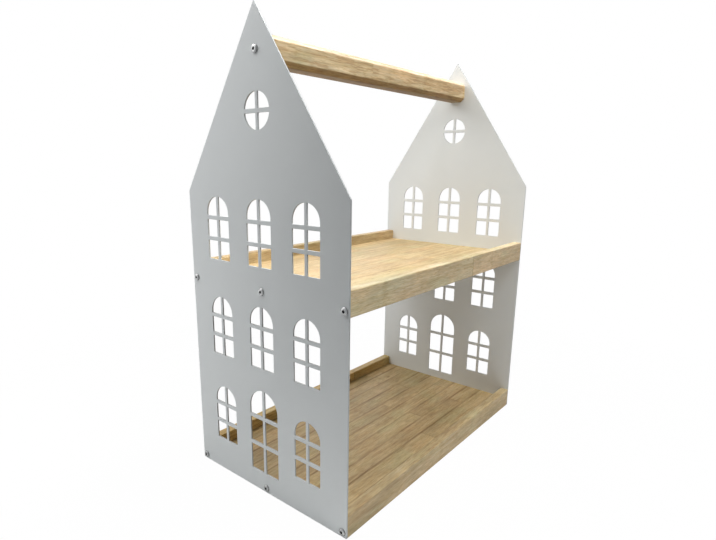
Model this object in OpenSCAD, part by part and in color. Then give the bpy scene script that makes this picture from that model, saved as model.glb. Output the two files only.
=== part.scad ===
// Two-tier shelf for a child's room: two lipped bamboo trays and a carrying bar,
// screwed between two gabled sheet-steel end panels that are cut out like house fronts.
// X runs along the shelf, the open front faces -Y and the base stands on Z = 0.

/* [Shelf] */
// Length over the outer faces of the two end panels
shelf_l = 375; // [250:1:600]
// Depth of the shelf, which is the width of an end panel
shelf_d = 220; // [190:1:300]
// Height of the undersides of the upper tray above the base
upper_tray_z = 216; // [200:0.5:240]

/* [End panels] */
// Thickness of the sheet steel with its powder coat
sheet_t = 1.6; // [1:0.1:3]
// Height of the straight sides, up to the eaves
eave_h = 315; // [313:1:360]
// Height of the roof peak
peak_h = 480; // [430:1:560]
// Radius left on the outer corners of the sheet
corner_r = 0.8; // [0.4:0.1:3]

/* [Windows] */
// Width of an arched window
window_w = 33.6; // [20:0.1:45]
// Height of an arched window, sill to crown
window_h = 65; // [50:0.5:72]
// Distance between the centres of neighbouring window columns
column_pitch = 61.6; // [50:0.1:70]
// How far the middle column stands behind the middle of the panel
column_setback = 1.7; // [0:0.1:4]
// Sill height of the bottom row of windows
bottom_sill_z = 38; // [20:0.5:60]
// Distance from the underside of the upper tray down to the crowns of the middle row
middle_crown_drop = 10.5; // [8:0.5:20]
// Height of the sills of the top row above the underside of the upper tray
top_sill_rise = 29.5; // [25:0.5:40]
// Width of the tall window in the middle of the bottom row
door_w = 41; // [30:0.5:52]
// Height of the tall window, sill to crown
door_h = 94; // [75:0.5:105]
// Sill height of the tall window
door_sill_z = 22; // [16:0.5:30]
// Diameter of the round window in the gable
round_window_d = 33.6; // [20:0.2:50]
// Distance from the roof peak down to the centre of the round window
round_window_drop = 90.5; // [80:0.5:110]
// Width of the upright glazing bars
mullion_w = 3.4; // [2:0.1:5]
// Height of the level glazing bars
transom_h = 4; // [2:0.1:5]

/* [Trays] */
// Height of the front and back rails of a tray
rail_h = 24; // [18:0.5:26]
// Thickness of a rail
rail_t = 11; // [10:0.5:16]
// Thickness of a tray's board
board_t = 11; // [10:0.5:14]
// Radius along the exposed edges of the rails
rail_edge_r = 1; // [0.3:0.1:2]

/* [Carrying bar] */
// Width and height of the bar
bar_w = 25; // [20:0.5:32]
// Width of the chamfers along the bar
bar_chamfer = 4.5; // [3:0.5:6]
// Radius that softens each edge of the bar's section
bar_edge_r = 2.5; // [0.5:0.5:4]
// Distance from the roof peak down to the bar's centre
bar_drop = 39; // [36:0.5:50]

/* [Screws and inserts] */
// Thread diameter of the screws
screw_d = 4; // [3:0.5:5]
// Length of a screw under its head
screw_l = 12; // [8:1:20]
// Diameter of the domed screw head
head_d = 7.6; // [6:0.1:9]
// Height of the domed screw head
head_h = 1.6; // [1.5:0.1:2.4]
// Height of the straight rim under the dome
head_rim_h = 0.5; // [0.2:0.1:0.8]
// Diameter of the flat on top of the dome
head_flat_d = 4; // [3.4:0.1:5]
// Size across the flats of the hexagon socket
socket_af = 2.5; // [2:0.1:2.9]
// Depth of the hexagon socket
socket_depth = 1.3; // [0.8:0.1:1.4]
// How much wider the hole in the sheet is than the screw
sheet_hole_clearance = 0.5; // [0.2:0.1:1]
// Outside diameter of a threaded insert
insert_d = 6; // [5.6:0.1:7]
// Length of a threaded insert
insert_l = 13; // [8:1:20]
// Width of the flange on an insert's outer end
insert_flange_w = 1; // [0.5:0.1:1.2]
// Thickness of the flange on an insert's outer end
insert_flange_t = 1; // [0.6:0.1:1.5]

/* [Dowels] */
// Diameter of the dowels that join a rail to its board
dowel_d = 6; // [4:0.5:8]
// How deep a dowel sits in the rail
dowel_in_rail = 7; // [5:0.5:9]
// How deep a dowel sits in the board
dowel_in_board = 17; // [10:0.5:30]
// Number of dowels along each rail
dowel_count = 4; // [2:1:6]
// Distance from the end of a rail to its first dowel
dowel_end_distance = 45; // [30:1:80]
// Chamfer on the ends of a dowel
dowel_chamfer = 0.8; // [0.3:0.1:1.2]

/* [Fits] */
// Radial clearance of screws, inserts and dowels in their bores
running_clearance = 0.05; // [0.02:0.01:0.1]
// Free depth left past the end of an insert, a dowel or a screw
end_clearance = 0.5; // [0.2:0.1:1]

/* [Hidden] */
$fn = 64;
eps = 0.01;
rows_in_window = 3;

inner_l = shelf_l - 2 * sheet_t;
board_d = shelf_d - 2 * rail_t;
middle_sill_z = upper_tray_z - middle_crown_drop - window_h;
top_sill_z = upper_tray_z + top_sill_rise;
round_window_z = peak_h - round_window_drop;
bar_z = peak_h - bar_drop;
bar_half = bar_w / 2;
bar_flat_half = bar_half - bar_chamfer;
screw_in = screw_l - sheet_t;
sheet_hole_d = screw_d + sheet_hole_clearance;
insert_bore_d = screw_d + 2 * running_clearance;
insert_flange_d = insert_d + 2 * insert_flange_w;
insert_seat_d = insert_d + 2 * running_clearance;
flange_seat_d = insert_flange_d + 2 * running_clearance;
insert_seat_depth = max(insert_l, screw_in) + end_clearance;
dowel_seat_d = dowel_d + 2 * running_clearance;
dowel_step = (inner_l - 2 * dowel_end_distance) / (dowel_count - 1);
dowel_xs = [for (i = [0 : dowel_count - 1]) dowel_end_distance - inner_l / 2 + i * dowel_step];

// Fastening line of a tray: through the middle of its board and of each rail
rail_screw_y = (shelf_d - rail_t) / 2;
board_mid = board_t / 2;
lower_screws = [for (y = [-rail_screw_y, 0, rail_screw_y]) [y, board_mid]];
upper_screws = [for (p = lower_screws) [p[0], p[1] + upper_tray_z]];
bar_screws = [[0, bar_z]];
all_screws = concat(lower_screws, upper_screws, bar_screws);

panel_outline = [
    [-shelf_d / 2, 0],
    [shelf_d / 2, 0],
    [shelf_d / 2, eave_h],
    [0, peak_h],
    [-shelf_d / 2, eave_h],
];
bar_outline = [
    [-bar_half, -bar_flat_half],
    [-bar_flat_half, -bar_half],
    [bar_flat_half, -bar_half],
    [bar_half, -bar_flat_half],
    [bar_half, bar_flat_half],
    [bar_flat_half, bar_half],
    [-bar_flat_half, bar_half],
    [-bar_half, bar_flat_half],
];

// Unit vector from point a to point b
function toward(a, b) = (b - a) / norm(b - a);

// A convex outline, given anticlockwise, with every corner rounded to radius r
module rounded_outline(corners, r) {
    n = len(corners);
    before = [for (i = [0 : n - 1]) toward(corners[i], corners[(i + n - 1) % n])];
    after = [for (i = [0 : n - 1]) toward(corners[i], corners[(i + 1) % n])];
    half_angle = [for (i = [0 : n - 1]) acos(before[i] * after[i]) / 2];
    polygon([
        for (i = [0 : n - 1])
            for (side = [before[i], after[i]])
                corners[i] + side * r / tan(half_angle[i])
    ]);
    for (i = [0 : n - 1])
        translate(corners[i] + toward([0, 0], before[i] + after[i]) * r / sin(half_angle[i]))
            circle(r);
}

// Turns a section drawn as Y across and Z up into a bar that runs along X from x0 to x1
module along_x(x0, x1) {
    translate([x0, 0, 0])
        rotate([90, 0, 90])
            linear_extrude(x1 - x0) children();
}

// Puts a part drawn along +X from the origin at each [y, z], pointing inwards from one end face.
// end is -1 for the left end and 1 for the right end.
module at_end(end, places, face_x) {
    for (p = places)
        translate([end * face_x, p[0], p[1]])
            mirror([end > 0 ? 1 : 0, 0, 0]) children();
}

// End panels

// Opening of an arched window whose sill is centred on the origin
module arch(w, h) {
    translate([-w / 2, 0]) square([w, h - w / 2]);
    translate([0, h - w / 2]) circle(w / 2);
}

// Panes of an arched window: one upright bar and equal rows
module arched_window(w, h) {
    difference() {
        arch(w, h);
        translate([-mullion_w / 2, 0]) square([mullion_w, h]);
        for (row = [1 : rows_in_window - 1])
            translate([-w / 2, h * row / rows_in_window - transom_h / 2])
                square([w, transom_h]);
    }
}

// Panes of the round window, divided by a cross
module round_window() {
    difference() {
        circle(round_window_d / 2);
        square([mullion_w, round_window_d], center = true);
        square([round_window_d, transom_h], center = true);
    }
}

module windows() {
    translate([column_setback, 0]) {
        for (column = [-1 : 1]) {
            translate([column * column_pitch, top_sill_z]) arched_window(window_w, window_h);
            translate([column * column_pitch, middle_sill_z]) arched_window(window_w, window_h);
        }
        for (column = [-1, 1])
            translate([column * column_pitch, bottom_sill_z]) arched_window(window_w, window_h);
        translate([0, door_sill_z]) arched_window(door_w, door_h);
    }
    translate([0, round_window_z]) round_window();
}

// end is -1 for the left panel and 1 for the right panel
module panel(end) {
    x0 = end > 0 ? inner_l / 2 : -shelf_l / 2;
    color("white")
        difference() {
            along_x(x0, x0 + sheet_t)
                difference() {
                    rounded_outline(panel_outline, corner_r);
                    windows();
                }
            for (p = all_screws)
                translate([x0 - eps, p[0], p[1]])
                    rotate([0, 90, 0])
                        cylinder(h = sheet_t + 2 * eps, d = sheet_hole_d);
        }
}

module panel_left() { panel(-1); }

module panel_right() { panel(1); }

// Trays

// Stepped bores for the inserts in both ends of a wooden piece
module insert_seats(places) {
    for (end = [-1, 1])
        at_end(end, places, inner_l / 2)
            rotate([0, 90, 0]) {
                translate([0, 0, -eps]) cylinder(h = insert_seat_depth + eps, d = insert_seat_d);
                translate([0, 0, -eps]) cylinder(h = insert_flange_t + eps, d = flange_seat_d);
            }
}

// Bores for the dowels between a board and the rail on one side of it.
// side is -1 for the front and 1 for the back.
module dowel_seats(side, tray_z) {
    seat_l = dowel_in_rail + dowel_in_board + 2 * end_clearance;
    for (x = dowel_xs)
        translate([x, side * (board_d / 2 + dowel_in_rail + end_clearance), tray_z + board_mid])
            rotate([side * 90, 0, 0])
                cylinder(h = seat_l, d = dowel_seat_d);
}

module board(tray_z, screws) {
    color("burlywood")
        difference() {
            translate([-inner_l / 2, -board_d / 2, tray_z]) cube([inner_l, board_d, board_t]);
            insert_seats([screws[1]]);
            for (side = [-1, 1]) dowel_seats(side, tray_z);
        }
}

// A rail's section, its outer face at y = 0 and its inner face towards +Y.
// The bottom inner edge stays sharp, where the board meets it.
module rail_section() {
    rounded_outline([[0, 0], [rail_t, 0], [rail_t, rail_h], [0, rail_h]], rail_edge_r);
    translate([rail_t / 2, 0]) square([rail_t / 2, rail_h / 2]);
}

// side is -1 for the front rail and 1 for the back rail
module rail(side, tray_z, screws) {
    color("tan")
        difference() {
            mirror([0, side > 0 ? 1 : 0, 0])
                translate([0, -shelf_d / 2, tray_z])
                    along_x(-inner_l / 2, inner_l / 2) rail_section();
            insert_seats([screws[side + 1]]);
            dowel_seats(side, tray_z);
        }
}

module upper_board() { board(upper_tray_z, upper_screws); }

module upper_front_rail() { rail(-1, upper_tray_z, upper_screws); }

module upper_back_rail() { rail(1, upper_tray_z, upper_screws); }

module lower_board() { board(0, lower_screws); }

module lower_front_rail() { rail(-1, 0, lower_screws); }

module lower_back_rail() { rail(1, 0, lower_screws); }

// Carrying bar

module carrying_bar() {
    color("peru")
        difference() {
            translate([0, 0, bar_z])
                along_x(-inner_l / 2, inner_l / 2) rounded_outline(bar_outline, bar_edge_r);
            insert_seats(bar_screws);
        }
}

// Screws, seated with their heads on the outer face of the sheet

// A head on the plane z = 0. Its dome is an arc from the rim that ends level with the flat top.
module screw_head() {
    dome_h = head_h - head_rim_h;
    dome_run = (head_d - head_flat_d) / 2;
    dome_r = (dome_h * dome_h + dome_run * dome_run) / (2 * dome_h);
    difference() {
        rotate_extrude()
            intersection() {
                square([head_d / 2, head_h]);
                union() {
                    square([head_d / 2, head_rim_h]);
                    square([head_flat_d / 2, head_h]);
                    translate([head_flat_d / 2, head_h - dome_r]) circle(dome_r);
                }
            }
        translate([0, 0, head_h - socket_depth])
            cylinder(h = socket_depth + eps, d = socket_af / cos(30), $fn = 6);
    }
}

// A screw along +X whose head rests on the plane x = 0 from outside
module screw() {
    rotate([0, -90, 0]) screw_head();
    rotate([0, 90, 0])
        translate([0, 0, -eps]) cylinder(h = screw_l + eps, d = screw_d);
}

module screws(end, places) {
    color("silver") at_end(end, places, shelf_l / 2) screw();
}

module bar_screw_left() { screws(-1, bar_screws); }

module bar_screw_right() { screws(1, bar_screws); }

module upper_tray_screws_left() { screws(-1, upper_screws); }

module upper_tray_screws_right() { screws(1, upper_screws); }

module lower_tray_screws_left() { screws(-1, lower_screws); }

module lower_tray_screws_right() { screws(1, lower_screws); }

// Threaded inserts, flush with the ends of the wood

module insert() {
    rotate([0, 90, 0])
        difference() {
            union() {
                cylinder(h = insert_l, d = insert_d);
                cylinder(h = insert_flange_t, d = insert_flange_d);
            }
            translate([0, 0, -eps]) cylinder(h = insert_l + 2 * eps, d = insert_bore_d);
        }
}

module inserts(end, places) {
    color("gold") at_end(end, places, inner_l / 2) insert();
}

module bar_insert_left() { inserts(-1, bar_screws); }

module bar_insert_right() { inserts(1, bar_screws); }

module upper_tray_inserts_left() { inserts(-1, upper_screws); }

module upper_tray_inserts_right() { inserts(1, upper_screws); }

module lower_tray_inserts_left() { inserts(-1, lower_screws); }

module lower_tray_inserts_right() { inserts(1, lower_screws); }

// Dowels

// side is -1 for the front and 1 for the back
module dowels(side, tray_z) {
    dowel_l = dowel_in_rail + dowel_in_board;
    tip_d = dowel_d - 2 * dowel_chamfer;
    color("wheat")
        for (x = dowel_xs)
            translate([x, side * (board_d / 2 + dowel_in_rail), tray_z + board_mid])
                rotate([side * 90, 0, 0]) {
                    cylinder(h = dowel_chamfer, d1 = tip_d, d2 = dowel_d);
                    translate([0, 0, dowel_chamfer])
                        cylinder(h = dowel_l - 2 * dowel_chamfer, d = dowel_d);
                    translate([0, 0, dowel_l - dowel_chamfer])
                        cylinder(h = dowel_chamfer, d1 = dowel_d, d2 = tip_d);
                }
}

module upper_front_dowels() { dowels(-1, upper_tray_z); }

module upper_back_dowels() { dowels(1, upper_tray_z); }

module lower_front_dowels() { dowels(-1, 0); }

module lower_back_dowels() { dowels(1, 0); }

panel_left();
panel_right();
upper_board();
upper_front_rail();
upper_back_rail();
lower_board();
lower_front_rail();
lower_back_rail();
carrying_bar();
bar_screw_left();
bar_screw_right();
upper_tray_screws_left();
upper_tray_screws_right();
lower_tray_screws_left();
lower_tray_screws_right();
bar_insert_left();
bar_insert_right();
upper_tray_inserts_left();
upper_tray_inserts_right();
lower_tray_inserts_left();
lower_tray_inserts_right();
upper_front_dowels();
upper_back_dowels();
lower_front_dowels();
lower_back_dowels();
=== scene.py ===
"""Looks of the two-tier shelf: powder-coated house-front panels, bamboo trays and a bamboo bar.

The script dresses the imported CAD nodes, and adds a floor, the studio's lights and the camera. It
adds no piece to the shelf itself."""

import math

import bpy
from mathutils import Matrix, Vector


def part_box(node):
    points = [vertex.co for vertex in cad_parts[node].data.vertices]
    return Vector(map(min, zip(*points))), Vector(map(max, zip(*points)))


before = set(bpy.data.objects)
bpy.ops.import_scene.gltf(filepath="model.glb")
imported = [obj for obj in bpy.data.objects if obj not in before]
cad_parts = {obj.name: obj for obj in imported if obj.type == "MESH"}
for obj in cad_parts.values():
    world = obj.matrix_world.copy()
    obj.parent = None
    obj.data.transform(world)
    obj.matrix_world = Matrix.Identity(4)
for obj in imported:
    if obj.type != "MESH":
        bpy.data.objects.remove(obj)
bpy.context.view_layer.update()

# A millimetre, in metres
MM = 0.001

WHITE = (1, 1, 1, 1)

TIERS = ("lower", "upper")
SIDES = ("front", "back")
ENDS = ("left", "right")

# Camera, as the photograph was taken: metres, and millimetres for the lens. It heads from +X
# towards +Y, and dips below level
CAMERA_PLACE = Vector((-0.5164, -0.3715, 0.3423))
CAMERA_HEADING = math.radians(40.443)
CAMERA_DIP = math.radians(13.457)
CAMERA_ROLL = math.radians(0.274)
CAMERA_LENS = 26.128
CAMERA_SHIFT = (0.03553, 0.02667)
CAMERA_CLIP_START = 0.01

# Softboxes: name, place and size in metres, power in watts, and for some what they aim at and
# their spread in degrees
SOFTBOXES = [
    ("left_back_high", (-0.43, 0.43, 1.51), 0.8, 5.85),
    ("front_high", (0.0, -0.7, 1.1), 0.5, 8.72),
    ("over_tray", (0.135, -0.14, 1.15), 0.3, 6.8),
    ("right_back", (0.97, 0.97, 0.54), 0.8, 4.0),
    ("left_near", (-0.5, 0.45, 0.4), 0.35, 0.50),
    ("left_near_low", (-0.45, 0.45, 0.12), 0.25, 0.256),
    ("left_near_high", (-0.35, 0.45, 0.75), 0.35, 2.14),
    ("left_top", (-0.32, 0.02, 0.75), 0.15, 0.026, (-0.19, 0, 0.42), 60),
    ("tray_corner", (0.06, -0.3, 0.75), 0.08, 0.038, (-0.14, 0.04, 0.235), 14),
]
SHELF_MIDDLE = (0, 0, 0.2)

# A board's strips, in millimetres: their width, and the Y of one seam between two of them
BOARD_STRIP = 21.2
BOARD_STRIP_EDGE = 17.1

# Length of a lamella in the boards and the bar, and in the rails, in millimetres
LAMELLA = 260
RAIL_LAMELLA = 430

# A rail is one strip, whose seams lie this far outside its edges, in millimetres
RAIL_SEAM_MARGIN = 1.0

# Where two lamellas of a rail meet end to end, in millimetres on X. The lower front rail is in one
# piece, because its joint would lie beyond its ends
RAIL_JOINTS = {"lower_front": 215, "lower_back": 90, "upper_front": 42.75, "upper_back": -60}

# The bar, in millimetres: where two strips meet, its chamfer, and where its underside ends
BAR_SPLIT_BELOW_CENTRE = 2.0
BAR_CHAMFER = 4.5
BAR_BOTTOM_EDGE = 0.4

# How tall a strip of the bar is, as a share of the bar
BAR_STRIP_SHARE = 0.6

# Dark knots on the boards, in millimetres: X, Y, half length and half width
BOARD_MARKS = {
    "lower": [(136, 66, 5, 2)],
    "upper": [(10, 26.5, 4, 1.5), (-43.5, -52, 2, 0.8)],
}

# What picks the lamellas and the grain of each piece
TIER_SEEDS = {"lower": 3.0, "upper": 11.0}
RAIL_SEED_STEPS = {"front": 1.0, "back": 2.0}
BAR_SEED = 23.0

# How each piece's bamboo departs from BAMBOO_TONES, and how a rail's top and back do: a painted
# highlight on the top, and painted shade on the back
TINTS = {
    "upper_board": (0.75, 0.74, 0.70),
    "upper_front": (1.02, 1.085, 1.265),
    "upper_back": (0.65, 0.64, 0.595),
    "lower_board": (0.81, 0.80, 0.745),
    "lower_front": (0.85, 0.895, 0.95),
    # The lower back rail is paled as painted light, standing in for bounce light on its inner face
    "lower_back": (1.25, 1.22, 0.98),
}
TOP_PAINTED_HIGHLIGHTS = {"upper_front": (1.11, 1.27, 1.55), "lower_front": (0.96, 1.05, 1.13)}
BACK_PAINTED_SHADE = (0.78, 0.76, 0.69)

# The bar's tints, from its underside up: bottom, lower chamfer, lower half, upper half, top. The
# bottom and lower chamfer are darkened as painted shade, and the top is paled as a painted
# highlight
BAR_BOTTOM_PAINTED_SHADE = (0.48, 0.41, 0.32)
BAR_LOWER_CHAMFER_PAINTED_SHADE = (0.72, 0.61, 0.48)
BAR_LOWER_TINT = (1.00, 1.02, 1.12)
BAR_UPPER_TINT = (0.93, 0.955, 1.01)
BAR_TOP_PAINTED_HIGHLIGHT = (1.18, 1.26, 1.62)

# How strongly the seams and the brown patches show
BOARD_SEAMS = {"lower": 1.0, "upper": 0.45}
RAIL_SEAMS = 1.0
BAR_SEAMS = 0.2
TRAY_MOTTLE = 0.5
BAR_MOTTLE = 1.6


class Shader:
    """A material's node tree. Each call adds a node, fills its inputs and returns its output."""

    # Where the common values of a noise lie, which gather round a half
    COMMON_NOISE = (0.34, 0.66)

    def __init__(self, name):
        self.material = bpy.data.materials.new(name)
        self.material.use_nodes = True
        self.tree = self.material.node_tree
        self.tree.nodes.clear()

    def fill(self, socket, value):
        if isinstance(value, bpy.types.NodeSocket):
            self.tree.links.new(value, socket)
        elif value is not None:
            socket.default_value = value

    def node(self, kind, inputs=(), **settings):
        """inputs is a list by position, or a dictionary by name or identifier."""
        made = self.tree.nodes.new("ShaderNode" + kind)
        for name, value in settings.items():
            setattr(made, name, value)
        if isinstance(inputs, dict):
            for socket in made.inputs:
                self.fill(socket, inputs.get(socket.identifier, inputs.get(socket.name)))
        else:
            for socket, value in zip(made.inputs, inputs):
                self.fill(socket, value)
        return made

    def math(self, operation, *values):
        return self.node("Math", values, operation=operation).outputs[0]

    def add(self, a, b):
        return self.math("ADD", a, b)

    def minus(self, a, b):
        return self.math("SUBTRACT", a, b)

    def times(self, a, b):
        return self.math("MULTIPLY", a, b)

    def over(self, a, b):
        return self.math("DIVIDE", a, b)

    def size(self, a):
        """a without its sign."""
        return self.math("ABSOLUTE", a)

    def length(self, a, b):
        """How long the vector (a, b) is."""
        return self.math("SQRT", self.add(self.times(a, a), self.times(b, b)))

    def split(self, vector):
        return self.node("SeparateXYZ", [vector]).outputs[:]

    def vector(self, x, y, z):
        return self.node("CombineXYZ", [x, y, z]).outputs[0]

    def place(self):
        """The piece's own coordinates, which are the frame's, in metres."""
        return self.node("TexCoord").outputs["Object"]

    def millimetres(self):
        """The same in millimetres."""
        inputs = [self.place(), (1 / MM,) * 3]
        return self.node("VectorMath", inputs, operation="MULTIPLY").outputs[0]

    def normal(self):
        """X, Y and Z of the surface's normal."""
        return self.split(self.node("NewGeometry").outputs["Normal"])

    def noise(self, vector, scale=1.0, detail=2.0):
        inputs = {"Vector": vector, "Scale": scale, "Detail": detail}
        return self.node("TexNoise", inputs).outputs[0]

    def random(self, a, b, seed):
        """Three random values that depend on two whole numbers and a seed."""
        made = self.node("TexWhiteNoise", {"Vector": self.vector(a, b, seed)})
        return self.split(made.outputs["Color"])

    def smooth(self, value, start, end, low=0.0, high=1.0):
        """low up to start, high from end, and a soft step between."""
        inputs = [value, start, end, low, high]
        return self.node("MapRange", inputs, interpolation_type="SMOOTHSTEP").outputs[0]

    def between(self, value, low, high):
        """value from 0 to 1 stretched to low to high."""
        return self.node("MapRange", [value, 0.0, 1.0, low, high]).outputs[0]

    def swing(self, noise, low, high):
        """low to high as a noise goes through its common values."""
        return self.smooth(noise, *self.COMMON_NOISE, low, high)

    def mix(self, factor, a, b, blend="MIX"):
        inputs = {"Factor_Float": factor, "A_Color": a, "B_Color": b}
        made = self.node("Mix", inputs, data_type="RGBA", blend_type=blend)
        return next(o for o in made.outputs if o.identifier == "Result_Color")

    def tinted(self, colour, tint):
        """colour times another colour."""
        return self.mix(1.0, colour, tint, "MULTIPLY")

    def stained(self, colour, factor, tint):
        """colour, tinted more and more as factor goes from 0 to 1."""
        return self.mix(factor, colour, self.tinted(colour, tint))

    def shade(self, colour, factor):
        """colour times one number."""
        return self.tinted(colour, self.vector(factor, factor, factor))

    def ramp(self, value, stops):
        made = self.node("ValToRGB", [value])
        elements = made.color_ramp.elements
        while len(elements) < len(stops):
            elements.new(0.5)
        for element, (position, colour) in zip(elements, stops):
            element.position = position
            element.color = (*colour, 1.0)
        return made.outputs[0]

    def bump(self, height, depth):
        """height from 0 to 1 stands for depth millimetres."""
        return self.node("Bump", {"Height": height, "Distance": depth * MM}).outputs[0]

    def finish(self, **inputs):
        """Ends in a Principled shader, whose inputs are given with _ for each space."""
        named = {name.replace("_", " "): value for name, value in inputs.items()}
        shader = self.node("BsdfPrincipled", named)
        self.node("OutputMaterial", [shader.outputs[0]])
        return self.material


# Tones of bamboo lamellas, from greenish straw to pinkish honey
BAMBOO_TONES = [
    (0.0, (0.640, 0.510, 0.290)),
    (0.5, (0.655, 0.507, 0.288)),
    (1.0, (0.660, 0.495, 0.280)),
]

# What a streak, a seam, a patch, a node of the cane or a knot takes from the colour under it
STREAK_BROWN = (0.86, 0.81, 0.72, 1)
SEAM_BROWN = (0.55, 0.46, 0.34, 1)
PATCH_BROWN = (0.80, 0.72, 0.64, 1)
NODE_BROWN = (0.80, 0.71, 0.56, 1)
MARK_BROWN = (0.50, 0.38, 0.24, 1)

# Patches of other hues
MOSS_GREEN = (0.96, 1.03, 1.02, 1)
BLUSH_PINK = (1.02, 0.98, 0.97, 1)


class Bamboo(Shader):
    """Strips of bamboo glued side by side, which run along X and are `strip` mm wide.

    Two strips meet at `edge` mm on the axis `across`. Each strip is made of lamellas, `lamella` mm
    long, that meet end to end, at `joint` mm on X where it is given."""

    # Noises of the grain: frequencies per millimetre along and across a strip, and detail
    STREAKS = (0.02, 0.24, 3)
    FIBRES = (0.08, 1.0, 4)
    PORES = (0.12, 1.3, 2)
    CLOUDS = (0.018, 0.05, 2)
    HUES = (0.019, 0.04, 1)
    PATCHES = (0.032, 0.34, 4)
    RAGS = (0.2, 0.5, 3)

    # Darkest and palest shade that a lamella, its fibres and its clouds give
    LAMELLA_SHADES = (0.95, 1.04)
    FIBRE_SHADES = (0.88, 1.13)
    CLOUD_SHADES = (0.90, 1.08)

    # Values of a noise at which a hue, a pore or a patch starts, and is full
    GREEN_RANGE = (0.52, 0.70)
    PINK_RANGE = (0.48, 0.30)
    PORE_RANGE = (0.54, 0.68)
    PATCH_RANGE = (0.50, 0.64)
    PORE_STRENGTH = 0.9

    # How far apart in the noise two lamellas are, and the hues of two seeds, in millimetres
    LAMELLA_APART = 900.0
    SEED_APART = 50.0

    # What a lamella's own random values add to the seed of its piece
    LAMELLA_SEED = 7.0

    # Where a seam's brown shadow, a glue line and a butt joint start and are full, in millimetres
    SHADOW_EDGES = (2.2, 0.3)
    GLUE_EDGES = (0.30, 0.08)
    BUTT_EDGES = (0.9, 0.2)

    # How strong these are: the shadow in its weak and strong stretches, and the lines
    SHADOW_STRENGTHS = (0.3, 1.0)
    LINE_STRENGTH = 0.45
    PLACED_BUTT_STRENGTH = 0.75

    # Frequency of the shadow's stretches, per millimetre along a seam and per strip across
    STRETCHES_ALONG = 0.013
    STRETCHES_ACROSS = 0.9

    # Nodes of the cane: their spacing, edges and raggedness, in millimetres, and strengths
    NODE_STEP = 230.0
    NODE_EDGES = (5.0, 0.5)
    NODE_RAGGED = 9
    NODE_STRENGTHS = (0.55, 0.25)

    # A knot's edges and raggedness, as shares of its half length and width, and its strength
    MARK_EDGES = (1.2, 0.3)
    MARK_RAGGED = 0.4
    MARK_STRENGTH = 0.8

    # A face starts to look along an axis, and does so, at these values of its normal there
    FACING = (0.7, 0.9)

    # Half the height over which one band's tint turns into the next, in millimetres
    BAND_BLEND = 0.2

    # End grain: bundles of fibres per millimetre, their edges, and the shades in and round them
    BUNDLES = 1.3
    BUNDLE_EDGES = (0.15, 0.4)
    BUNDLE_SHADES = (0.35, 0.62)

    # Roughness along the fibres, and what a line adds
    ROUGHNESS = (0.50, 0.66)
    LINE_ROUGHNESS = 0.2

    # Relief in millimetres, and the shares of it that fibres raise and pores lower
    RELIEF = 0.06
    FIBRE_RELIEF = 0.6
    PORE_RELIEF = -0.35

    def __init__(self, name, seed, across, strip, edge, lamella, joint=None):
        super().__init__(name)
        self.seed = seed
        self.spot = self.millimetres()
        self.x, y, z = self.split(self.spot)
        self.width, self.depth = (y, z) if across == "y" else (z, y)
        self.facing = self.normal()

        # Which strip and which lamella a point is in, and that lamella's own random values
        self.strips = self.over(self.minus(self.width, edge), strip)
        index = self.math("FLOOR", self.strips)
        stagger, self.node_shift, _ = self.random(index, 0.0, seed)
        start = stagger if joint is None else -joint / lamella
        run = self.add(self.over(self.x, lamella), start)
        piece = self.math("FLOOR", run)
        self.tone, self.light, shift = self.random(index, piece, seed + self.LAMELLA_SEED)
        self.own_width = self.add(self.width, self.times(shift, self.LAMELLA_APART))

        # What both the colour and the relief need
        self.fibre = self.grain(self.FIBRES)
        self.pores = self.smooth(self.grain(self.PORES), *self.PORE_RANGE)
        self.to_seam = self.to_edge(self.strips, strip)
        butt_strength = self.LINE_STRENGTH if joint is None else self.PLACED_BUTT_STRENGTH
        glue = self.smooth(self.to_seam, *self.GLUE_EDGES, high=self.LINE_STRENGTH)
        butt = self.smooth(self.to_edge(run, lamella), *self.BUTT_EDGES, high=butt_strength)
        self.lines = self.math("MAXIMUM", glue, butt)

    def to_edge(self, count, size):
        """Distance to the nearer edge of a cell, where count goes up by 1 for each `size` mm."""
        share = self.math("FRACT", count)
        far_share = self.minus(1.0, share)
        return self.math("MINIMUM", self.times(share, size), self.times(far_share, size))

    def grain(self, kind, width=None):
        """Noise drawn out along X, of a kind from the list above, and different in each lamella,
        or at a width that is given."""
        along, across, detail = kind
        width = self.own_width if width is None else width
        x = self.times(self.x, along)
        stretched = self.vector(x, self.times(width, across), self.times(self.depth, across))
        return self.noise(stretched, detail=detail)

    def plain_wood(self, mottle):
        """Colour of the grain alone, with its brown patches `mottle` strong."""
        streaks = self.swing(self.grain(self.STREAKS), 1.0, 0.0)
        hue = self.grain(self.HUES, self.add(self.width, self.seed * self.SEED_APART))
        patches = self.smooth(self.grain(self.PATCHES), *self.PATCH_RANGE)

        colour = self.ramp(self.tone, BAMBOO_TONES)
        colour = self.shade(colour, self.between(self.light, *self.LAMELLA_SHADES))
        colour = self.stained(colour, streaks, STREAK_BROWN)
        colour = self.shade(colour, self.swing(self.fibre, *self.FIBRE_SHADES))
        colour = self.shade(colour, self.swing(self.grain(self.CLOUDS), *self.CLOUD_SHADES))
        colour = self.stained(colour, self.smooth(hue, *self.GREEN_RANGE), MOSS_GREEN)
        colour = self.stained(colour, self.smooth(hue, *self.PINK_RANGE), BLUSH_PINK)
        colour = self.stained(colour, self.times(self.pores, self.PORE_STRENGTH), NODE_BROWN)
        return self.stained(colour, self.times(patches, mottle), PATCH_BROWN)

    def add_seams(self, colour, strength):
        """Glue lines in a soft brown shadow, which is stronger in some stretches."""
        along = self.times(self.x, self.STRETCHES_ALONG)
        across = self.times(self.strips, self.STRETCHES_ACROSS)
        stretch = self.noise(self.vector(along, across, self.seed))
        shadow = self.smooth(self.to_seam, *self.SHADOW_EDGES)
        shadow = self.times(shadow, self.swing(stretch, *self.SHADOW_STRENGTHS))
        brown = self.math("MAXIMUM", shadow, self.lines)
        return self.stained(colour, self.times(brown, strength), SEAM_BROWN)

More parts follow.
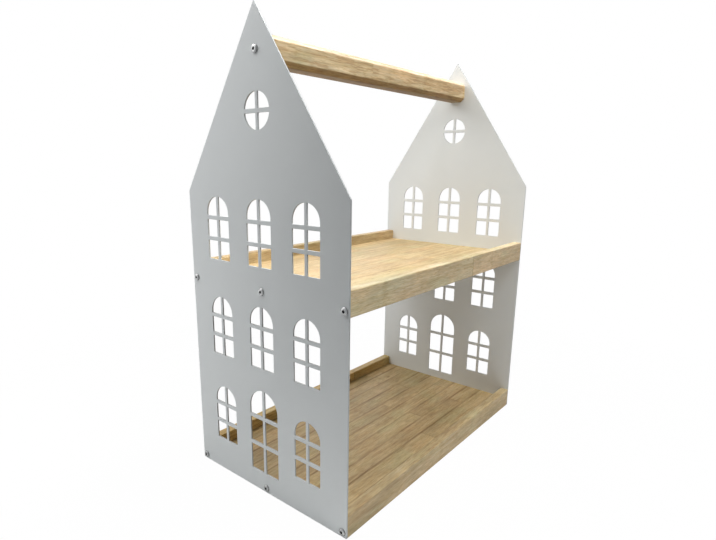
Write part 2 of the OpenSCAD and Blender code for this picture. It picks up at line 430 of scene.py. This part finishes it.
    def add_nodes(self, colour):
        """Nodes of the cane: a soft brown band with a ragged edge across a strip."""
        steps = self.add(self.over(self.x, self.NODE_STEP), self.node_shift)
        from_node = self.times(self.minus(self.math("FRACT", steps), 0.5), self.NODE_STEP)
        rags = self.between(self.grain(self.RAGS), -self.NODE_RAGGED, self.NODE_RAGGED)
        node = self.smooth(self.size(self.add(from_node, rags)), *self.NODE_EDGES)
        strength = self.swing(self.fibre, *self.NODE_STRENGTHS)
        return self.stained(colour, self.times(node, strength), NODE_BROWN)

    def add_tints(self, colour, tint, bands, top, back):
        """A tint, others from each band's edge on, a painted highlight on the top and painted
        shade on the back.
        """
        tint = (*tint, 1)
        for edge, band_tint in bands:
            above = self.smooth(self.width, edge - self.BAND_BLEND, edge + self.BAND_BLEND)
            tint = self.mix(above, tint, (*band_tint, 1))
        # The top tint is a painted highlight, and the back tint is painted shade
        _, to_back, up = self.facing
        for side, side_tint in ((up, top), (to_back, back)):
            if side_tint is not None:
                tint = self.mix(self.smooth(side, *self.FACING), tint, (*side_tint, 1))
        return self.tinted(colour, tint)

    def add_mark(self, colour, x, width, half_length, half_width):
        """A dark knot."""
        ends = self.over(self.minus(self.x, x), half_length)
        sides = self.over(self.minus(self.width, width), half_width)
        rags = self.between(self.fibre, -self.MARK_RAGGED, self.MARK_RAGGED)
        away = self.add(self.length(ends, sides), rags)
        spot = self.smooth(away, *self.MARK_EDGES, high=self.MARK_STRENGTH)
        return self.stained(colour, spot, MARK_BROWN)

    def add_end_grain(self, colour):
        """Darker ends, with a dot for each bundle of fibres."""
        along_x, _, _ = self.facing
        end = self.smooth(self.size(along_x), *self.FACING)
        cells = self.node("TexVoronoi", {"Vector": self.spot, "Scale": self.BUNDLES})
        dots = self.smooth(cells.outputs["Distance"], *self.BUNDLE_EDGES, *self.BUNDLE_SHADES)
        return self.mix(end, colour, self.shade(NODE_BROWN, dots))

    def dressed(self, tint, seams, mottle=TRAY_MOTTLE, bands=(), marks=(), top=None, back=None):
        """The finished material, with its seams and brown patches so strong.

        Each band is a place across the strips, and the tint from there on. Each mark is a knot:
        its X, its place across, its half length and its half width, in millimetres. `top` and
        `back` are the tints of the faces that look up and to the back: a painted highlight and
        painted shade."""
        colour = self.plain_wood(mottle)
        colour = self.add_seams(colour, seams)
        colour = self.add_nodes(colour)
        colour = self.add_tints(colour, tint, bands, top, back)
        for mark in marks:
            colour = self.add_mark(colour, *mark)
        colour = self.add_end_grain(colour)

        roughness = self.between(self.fibre, *self.ROUGHNESS)
        roughness = self.add(roughness, self.times(self.lines, self.LINE_ROUGHNESS))
        relief = self.times(self.fibre, self.FIBRE_RELIEF)
        relief = self.add(relief, self.times(self.pores, self.PORE_RELIEF))
        relief = self.minus(relief, self.lines)
        return self.finish(
            Base_Color=colour, Roughness=roughness, Normal=self.bump(relief, self.RELIEF)
        )


# Powder coat: tones, and frequencies of its patches, orange peel and speckle, per millimetre
COAT_TONES = [(0.3, (0.780, 0.812, 0.815)), (0.7, (0.805, 0.838, 0.840))]
COAT_PATCHES = 0.02
COAT_PEEL = 0.9
COAT_SPECKLE = 4.0

# Its roughness by patch, what the speckle adds and takes, the shares that peel and speckle have in
# its relief, and that relief in millimetres
COAT_ROUGHNESS = (0.34, 0.46)
SPECKLE_ROUGHNESS = (-0.05, 0.05)
PEEL_SHARE = 0.7
SPECKLE_SHARE = 0.3
COAT_RELIEF = 0.035

# How far painted shade darkens the coat on the sheet's cut edges, against its faces, which look
# along X. The painted shade goes from edge to face between these values of the normal's X
CUT_EDGE_PAINTED_SHADE = 0.55
CUT_EDGE_RANGE = (0.85, 0.98)


def powder_coat():
    """White powder coat on steel: a fine orange peel with a few dull patches, and painted shade
    that greys the cut edges of the sheet."""
    s = Shader("white_powder_coat_finish")
    spot = s.millimetres()
    patches = s.noise(spot, scale=COAT_PATCHES, detail=3)
    peel = s.noise(spot, scale=COAT_PEEL)
    speckle = s.noise(spot, scale=COAT_SPECKLE, detail=1)
    along_x, _, _ = s.normal()
    # Painted shade on the sheet's cut edges
    edge_painted_shade = s.smooth(s.size(along_x), *CUT_EDGE_RANGE, CUT_EDGE_PAINTED_SHADE, 1.0)
    roughness = s.add(s.between(patches, *COAT_ROUGHNESS), s.between(speckle, *SPECKLE_ROUGHNESS))
    relief = s.add(s.times(peel, PEEL_SHARE), s.times(speckle, SPECKLE_SHARE))
    return s.finish(
        Base_Color=s.shade(s.ramp(patches, COAT_TONES), edge_painted_shade),
        Roughness=roughness,
        Normal=s.bump(relief, COAT_RELIEF),
    )


def round_own_axis(s, spot, spacing, height):
    """How far a point is from its own fastener's axis, and the angle round it, where fasteners
    along X stand `spacing` mm apart in Y, `height` mm above the base."""
    _, y, z = s.split(spot)
    column = s.math("ROUND", s.over(y, spacing))
    across = s.minus(y, s.times(column, spacing))
    up = s.minus(z, height)
    return s.length(across, up), s.math("ARCTAN2", up, across)


# Screws: radii at which the painted shade in the socket ends and the painted shadow at the head's
# rim starts, in millimetres, and how dark the painted shade in the socket and at the rim is
SOCKET_EDGES = (1.35, 1.55)
SOCKET_PAINTED_SHADE = 0.06
RIM_EDGES = (3.2, 3.7)
RIM_PAINTED_SHADOW = 0.55

# Dull zinc: tones, frequency of its dullness per millimetre, roughness, radians of the turning
# marks per millimetre, how high these are from 0 to 1, and the relief in millimetres
ZINC_TONES = [(0.3, (0.44, 0.45, 0.45)), (0.7, (0.56, 0.56, 0.55))]
ZINC_DULLNESS = 0.8
ZINC_ROUGHNESS = (0.38, 0.52)
TURNING_MARKS = 40.0
TURNING_HEIGHT = 0.5
TURNING_RELIEF = 0.008


def screw_steel(name, spacing, height):
    """Dull zinc-plated steel with fine turning marks; painted shade in its socket and at its rim.
    """
    s = Shader(name)
    spot = s.millimetres()
    radius, _ = round_own_axis(s, spot, spacing, height)
    marks = s.math("SINE", s.times(radius, TURNING_MARKS))
    dull = s.noise(spot, scale=ZINC_DULLNESS, detail=4)
    colour = s.ramp(dull, ZINC_TONES)
    # Painted shade down in the socket, and a painted shadow round the head's rim
    colour = s.shade(colour, s.smooth(radius, *SOCKET_EDGES, SOCKET_PAINTED_SHADE, 1.0))
    colour = s.shade(colour, s.smooth(radius, *RIM_EDGES, 1.0, RIM_PAINTED_SHADOW))
    return s.finish(
        Base_Color=colour,
        Metallic=1.0,
        Roughness=s.between(dull, *ZINC_ROUGHNESS),
        Normal=s.bump(s.between(marks, 0.0, TURNING_HEIGHT), TURNING_RELIEF),
    )


# Brass: tones, frequency of its dullness per millimetre, roughness, and the pitch and depth of the
# thread in millimetres
BRASS_TONES = [(0.3, (0.55, 0.38, 0.14)), (0.7, (0.76, 0.57, 0.25))]
BRASS_DULLNESS = 0.6
BRASS_ROUGHNESS = (0.22, 0.42)
THREAD_PITCH = 1.5
THREAD_DEPTH = 0.4


def insert_brass(name, spacing, height):
    """Machined brass with a coarse thread round the outside."""
    s = Shader(name)
    spot = s.millimetres()
    x, _, _ = s.split(spot)
    _, angle = round_own_axis(s, spot, spacing, height)
    turns = s.add(s.over(x, THREAD_PITCH), s.over(angle, 2 * math.pi))
    dull = s.noise(spot, scale=BRASS_DULLNESS, detail=4)
    return s.finish(
        Base_Color=s.ramp(dull, BRASS_TONES),
        Metallic=1.0,
        Roughness=s.between(dull, *BRASS_ROUGHNESS),
        Normal=s.bump(s.math("PINGPONG", turns, 0.5), THREAD_DEPTH),
    )


# Beech: tones, and frequencies of its grain and flecks per millimetre across and along, and detail
BEECH_TONES = [(0.3, (0.55, 0.38, 0.23)), (0.7, (0.72, 0.55, 0.36))]
BEECH_GRAIN = (1.5, 0.08, 4)
BEECH_FLECKS = (4.0, 0.5, 1)

# Values of the noise at which a fleck starts and is full, its shade, and the wood's roughness
FLECK_RANGE = (0.55, 0.7)
FLECK_SHADE = 0.8
BEECH_ROUGHNESS = (0.5, 0.7)

# Radians of the flutes per millimetre, the shares that grain and flutes have in the relief, and
# that relief in millimetres
FLUTES = 7.0
BEECH_GRAIN_SHARE = 0.5
FLUTE_SHARE = 0.3
BEECH_RELIEF = 0.08


def beech_noise(s, spot, kind):
    """Noise drawn out along Y, of a kind from the list above."""
    across, along, detail = kind
    x, y, z = s.split(spot)
    stretched = s.vector(s.times(x, across), s.times(y, along), s.times(z, across))
    return s.noise(stretched, detail=detail)


def dowel_wood():
    """Pale beech along Y, with flutes pressed into its sides."""
    s = Shader("dowel_wood_finish")
    spot = s.millimetres()
    x, _, z = s.split(spot)
    grain = beech_noise(s, spot, BEECH_GRAIN)
    flecks = beech_noise(s, spot, BEECH_FLECKS)
    flutes = s.math("SINE", s.times(s.add(x, z), FLUTES))
    relief = s.add(s.times(grain, BEECH_GRAIN_SHARE), s.between(flutes, 0.0, FLUTE_SHARE))
    fleck_shade = s.smooth(flecks, *FLECK_RANGE, 1.0, FLECK_SHADE)
    return s.finish(
        Base_Color=s.shade(s.ramp(grain, BEECH_TONES), fleck_shade),
        Roughness=s.between(grain, *BEECH_ROUGHNESS),
        Normal=s.bump(relief, BEECH_RELIEF),
    )


# The coat's rounding of the sheet's edges, and the distance within which two points are one, in
# millimetres
COAT_RADIUS = 0.25
COAT_RADIUS_STEPS = 2
WELD_DISTANCE = 0.02

# Angles up to which faces count as one flat, from which an edge is rounded, and from which an edge
# stays crisp
FLAT_ANGLE = math.radians(0.5)
ROUNDED_ANGLE = math.radians(40)
CRISP_ANGLE = math.radians(18)


def crisp_group():
    """Nodes of a modifier that shades smooth over an edge of less than CRISP_ANGLE, and leaves the
    other edges crisp."""
    group = bpy.data.node_groups.new("crisp", "GeometryNodeTree")
    for way in ("INPUT", "OUTPUT"):
        group.interface.new_socket("Geometry", in_out=way, socket_type="NodeSocketGeometry")
    start = group.nodes.new("NodeGroupInput")
    angle = group.nodes.new("GeometryNodeInputMeshEdgeAngle")
    sharp = group.nodes.new("ShaderNodeMath")
    sharp.operation = "GREATER_THAN"
    sharp.inputs[1].default_value = CRISP_ANGLE
    shade = group.nodes.new("GeometryNodeSetMeshNormal")
    shade.inputs["Remove Custom"].default_value = True
    end = group.nodes.new("NodeGroupOutput")
    group.links.new(start.outputs[0], shade.inputs["Mesh"])
    group.links.new(angle.outputs["Unsigned Angle"], sharp.inputs[0])
    group.links.new(sharp.outputs[0], shade.inputs["Edge Sharpness"])
    group.links.new(shade.outputs[0], end.inputs[0])
    return group


def round_edges(piece, crisp):
    """Rounds a piece's sharp edges, as a coat of powder does, and shades them with `crisp`."""
    weld = piece.modifiers.new("weld", "WELD")
    weld.merge_threshold = WELD_DISTANCE * MM
    flat = piece.modifiers.new("flat", "DECIMATE")
    flat.decimate_type = "DISSOLVE"
    flat.angle_limit = FLAT_ANGLE
    bevel = piece.modifiers.new("bevel", "BEVEL")
    bevel.width = COAT_RADIUS * MM
    bevel.segments = COAT_RADIUS_STEPS
    bevel.limit_method = "ANGLE"
    bevel.angle_limit = ROUNDED_ANGLE
    bevel.use_clamp_overlap = False
    bevel.loop_slide = False
    shading = piece.modifiers.new("crisp", "NODES")
    shading.node_group = crisp


def dress(node, material):
    """Gives a CAD node its material."""
    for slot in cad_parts[node].material_slots:
        slot.material = material


def reach(node, axis):
    """A node's lowest and highest place on an axis, in millimetres."""
    low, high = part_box(node)
    return low[axis] / MM, high[axis] / MM


def middle(node, axis):
    return sum(reach(node, axis)) / 2


def dress_panels():
    coat = powder_coat()
    crisp = crisp_group()
    for end in ENDS:
        dress(f"panel_{end}", coat)
        round_edges(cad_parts[f"panel_{end}"], crisp)


def dress_board(tier):
    node = f"{tier}_board"
    strips = ("y", BOARD_STRIP, BOARD_STRIP_EDGE, LAMELLA)
    wood = Bamboo(f"bamboo_{node}", TIER_SEEDS[tier], *strips)
    dress(node, wood.dressed(TINTS[node], BOARD_SEAMS[tier], marks=BOARD_MARKS[tier]))


def dress_rail(tier, side):
    node, key = f"{tier}_{side}_rail", f"{tier}_{side}"
    low, high = reach(node, 2)
    strips = ("z", high - low + 2 * RAIL_SEAM_MARGIN, low - RAIL_SEAM_MARGIN, RAIL_LAMELLA)
    seed = TIER_SEEDS[tier] + RAIL_SEED_STEPS[side]
    wood = Bamboo(f"bamboo_{node}", seed, *strips, joint=RAIL_JOINTS[key])
    dress(node, wood.dressed(TINTS[key], RAIL_SEAMS, top=TOP_PAINTED_HIGHLIGHTS.get(key), back=BACK_PAINTED_SHADE))


def dress_trays():
    for tier in TIERS:
        dress_board(tier)
        for side in SIDES:
            dress_rail(tier, side)


def dress_bar():
    low, high = reach("carrying_bar", 2)
    split = middle("carrying_bar", 2) - BAR_SPLIT_BELOW_CENTRE
    strips = ("z", (high - low) * BAR_STRIP_SHARE, split, LAMELLA)
    wood = Bamboo("bamboo_bar", BAR_SEED, *strips)
    # The bottom and lower chamfer bands are painted shade, and the top band is a painted highlight
    bands = [
        (low + BAR_BOTTOM_EDGE, BAR_LOWER_CHAMFER_PAINTED_SHADE),
        (low + BAR_CHAMFER, BAR_LOWER_TINT),
        (split, BAR_UPPER_TINT),
        (high - BAR_CHAMFER, BAR_TOP_PAINTED_HIGHLIGHT),
    ]
    dress("carrying_bar", wood.dressed(BAR_BOTTOM_PAINTED_SHADE, BAR_SEAMS, BAR_MOTTLE, bands))


def dress_screws(level, height, screws, inserts):
    """The screws and inserts at both ends of one level, `height` mm above the base."""
    screws_apart = middle("upper_back_rail", 1)
    steel = screw_steel(f"screw_steel_{level}", screws_apart, height)
    brass = insert_brass(f"insert_brass_{level}", screws_apart, height)
    for end in ENDS:
        dress(f"{screws}_{end}", steel)
        dress(f"{inserts}_{end}", brass)


def dress_fasteners():
    wood = dowel_wood()
    for tier in TIERS:
        height = middle(f"{tier}_board", 2)
        dress_screws(tier, height, f"{tier}_tray_screws", f"{tier}_tray_inserts")
        for side in SIDES:
            dress(f"{tier}_{side}_dowels", wood)
    dress_screws("bar", middle("carrying_bar", 2), "bar_screw", "bar_insert")


# Floor: the grey whose light it throws back, how much of it is seen as white instead, and how far
# out it ends, in metres
FLOOR_BOUNCE = 0.75
FLOOR_GLOW = 0.98
FLOOR_END = 0.75


def floor_material():
    """Pale floor that fades out into the background away from the shelf. It looks paler than the
    light that it throws back, as a cut-out photograph's floor does."""
    s = Shader("floor_white")
    x, y, _ = s.split(s.place())
    solid = s.smooth(s.length(x, y), FLOOR_END, FLOOR_END / 2)
    grey = (FLOOR_BOUNCE, FLOOR_BOUNCE, FLOOR_BOUNCE, 1)
    paint = s.node("BsdfDiffuse", {"Color": grey}).outputs[0]
    glow = s.node("Emission", {"Color": WHITE, "Strength": 1.0}).outputs[0]
    seen = s.node("LightPath").outputs["Is Camera Ray"]
    paler = s.node("MixShader", [s.times(seen, FLOOR_GLOW), paint, glow]).outputs[0]
    clear = s.node("BsdfTransparent").outputs[0]
    mixed = s.node("MixShader", [solid, clear, paler]).outputs[0]
    s.node("OutputMaterial", [mixed])
    return s.material


def make_floor():
    half = FLOOR_END
    mesh = bpy.data.meshes.new("floor")
    corners = [(-half, -half, 0), (half, -half, 0), (half, half, 0), (-half, half, 0)]
    mesh.from_pydata(corners, [], [(0, 1, 2, 3)])
    mesh.materials.append(floor_material())
    floor = bpy.data.objects.new("floor", mesh)
    bpy.context.scene.collection.objects.link(floor)


# The colour of the studio's soft light, and how strongly metal and lacquer mirror it
STUDIO_WHITE = (0.94, 0.97, 1.0, 1)
MIRRORED_GREY = 0.45


def make_world():
    """White behind the shelf, and a soft grey all round to be mirrored."""
    world = bpy.data.worlds.new("studio")
    world.use_nodes = True
    tree = world.node_tree
    tree.nodes.clear()
    seen = tree.nodes.new("ShaderNodeBackground")
    seen.inputs["Color"].default_value = WHITE
    light = tree.nodes.new("ShaderNodeBackground")
    light.inputs["Color"].default_value = STUDIO_WHITE
    rays = tree.nodes.new("ShaderNodeLightPath")
    mirrored = tree.nodes.new("ShaderNodeMath")
    mirrored.operation = "MULTIPLY"
    mirrored.inputs[1].default_value = MIRRORED_GREY
    tree.links.new(rays.outputs["Is Glossy Ray"], mirrored.inputs[0])
    tree.links.new(mirrored.outputs[0], light.inputs["Strength"])
    mixed = tree.nodes.new("ShaderNodeMixShader")
    out = tree.nodes.new("ShaderNodeOutputWorld")
    tree.links.new(rays.outputs["Is Camera Ray"], mixed.inputs[0])
    tree.links.new(light.outputs[0], mixed.inputs[1])
    tree.links.new(seen.outputs[0], mixed.inputs[2])
    tree.links.new(mixed.outputs[0], out.inputs[0])
    bpy.context.scene.world = world


def make_softbox(name, place, size, power, aim=SHELF_MIDDLE, spread=180):
    """A round softbox, with a grid that lets out only `spread` degrees."""
    data = bpy.data.lights.new(name, "AREA")
    data.shape = "DISK"
    data.size = size
    data.energy = power
    data.spread = math.radians(spread)
    lamp = bpy.data.objects.new(name, data)
    lamp.location = place
    way = Vector(aim) - Vector(place)
    lamp.rotation_euler = way.to_track_quat("-Z", "Y").to_euler()
    lamp.visible_camera = False
    bpy.context.scene.collection.objects.link(lamp)


def make_camera():
    data = bpy.data.cameras.new("camera")
    data.lens = CAMERA_LENS
    data.shift_x, data.shift_y = CAMERA_SHIFT
    data.clip_start = CAMERA_CLIP_START
    camera = bpy.data.objects.new("camera", data)
    turn = (
        Matrix.Rotation(CAMERA_HEADING - math.pi / 2, 4, "Z")
        @ Matrix.Rotation(math.pi / 2 - CAMERA_DIP, 4, "X")
        @ Matrix.Rotation(CAMERA_ROLL, 4, "Z")
    )
    camera.matrix_world = Matrix.Translation(CAMERA_PLACE) @ turn
    bpy.context.scene.collection.objects.link(camera)
    bpy.context.scene.camera = camera


make_camera()
dress_panels()
dress_trays()
dress_bar()
dress_fasteners()
make_floor()
make_world()
for softbox in SOFTBOXES:
    make_softbox(*softbox)
bpy.context.scene.view_settings.view_transform = "Standard"
